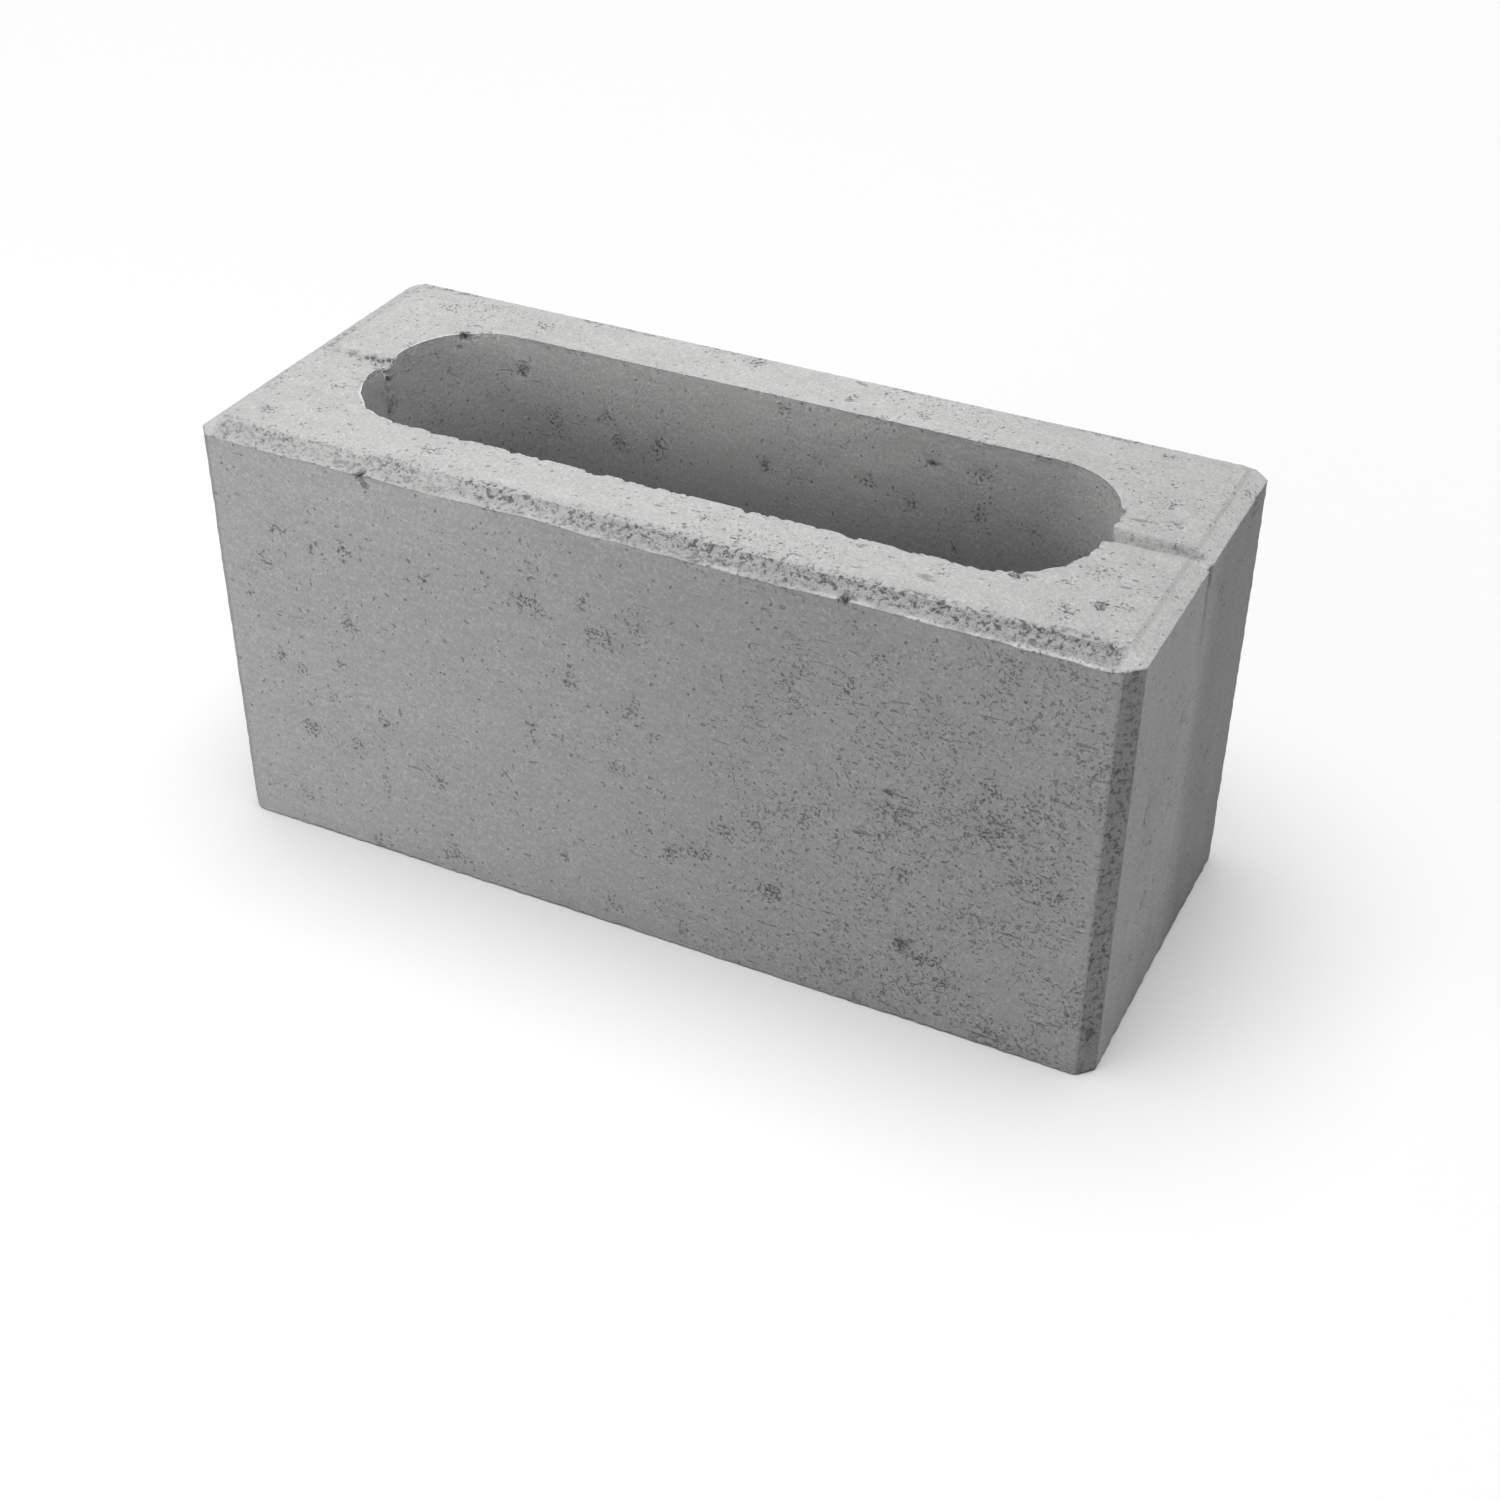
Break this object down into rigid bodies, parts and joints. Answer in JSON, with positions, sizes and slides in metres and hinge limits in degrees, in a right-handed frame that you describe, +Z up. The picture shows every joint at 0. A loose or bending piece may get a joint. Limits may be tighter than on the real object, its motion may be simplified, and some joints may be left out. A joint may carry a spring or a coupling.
{
  "type": "hollow concrete wall block",
  "caption": "Grey pressed concrete wall block with a long round-ended core hole, chamfered top edges and a splitting notch round each end wall.",
  "frame": {"origin": "centre of the underside, on the floor", "axes": "+X along the block's length, +Y across its thickness, +Z up through the core hole"},
  "size_m": [0.39, 0.16, 0.188],
  "materials": {
    "concrete": "pressed, fine-grained, matt grey concrete with small voids"
  },
  "bodies": {
    "root": {"block": "concrete"}
  },
  "joints": []
}
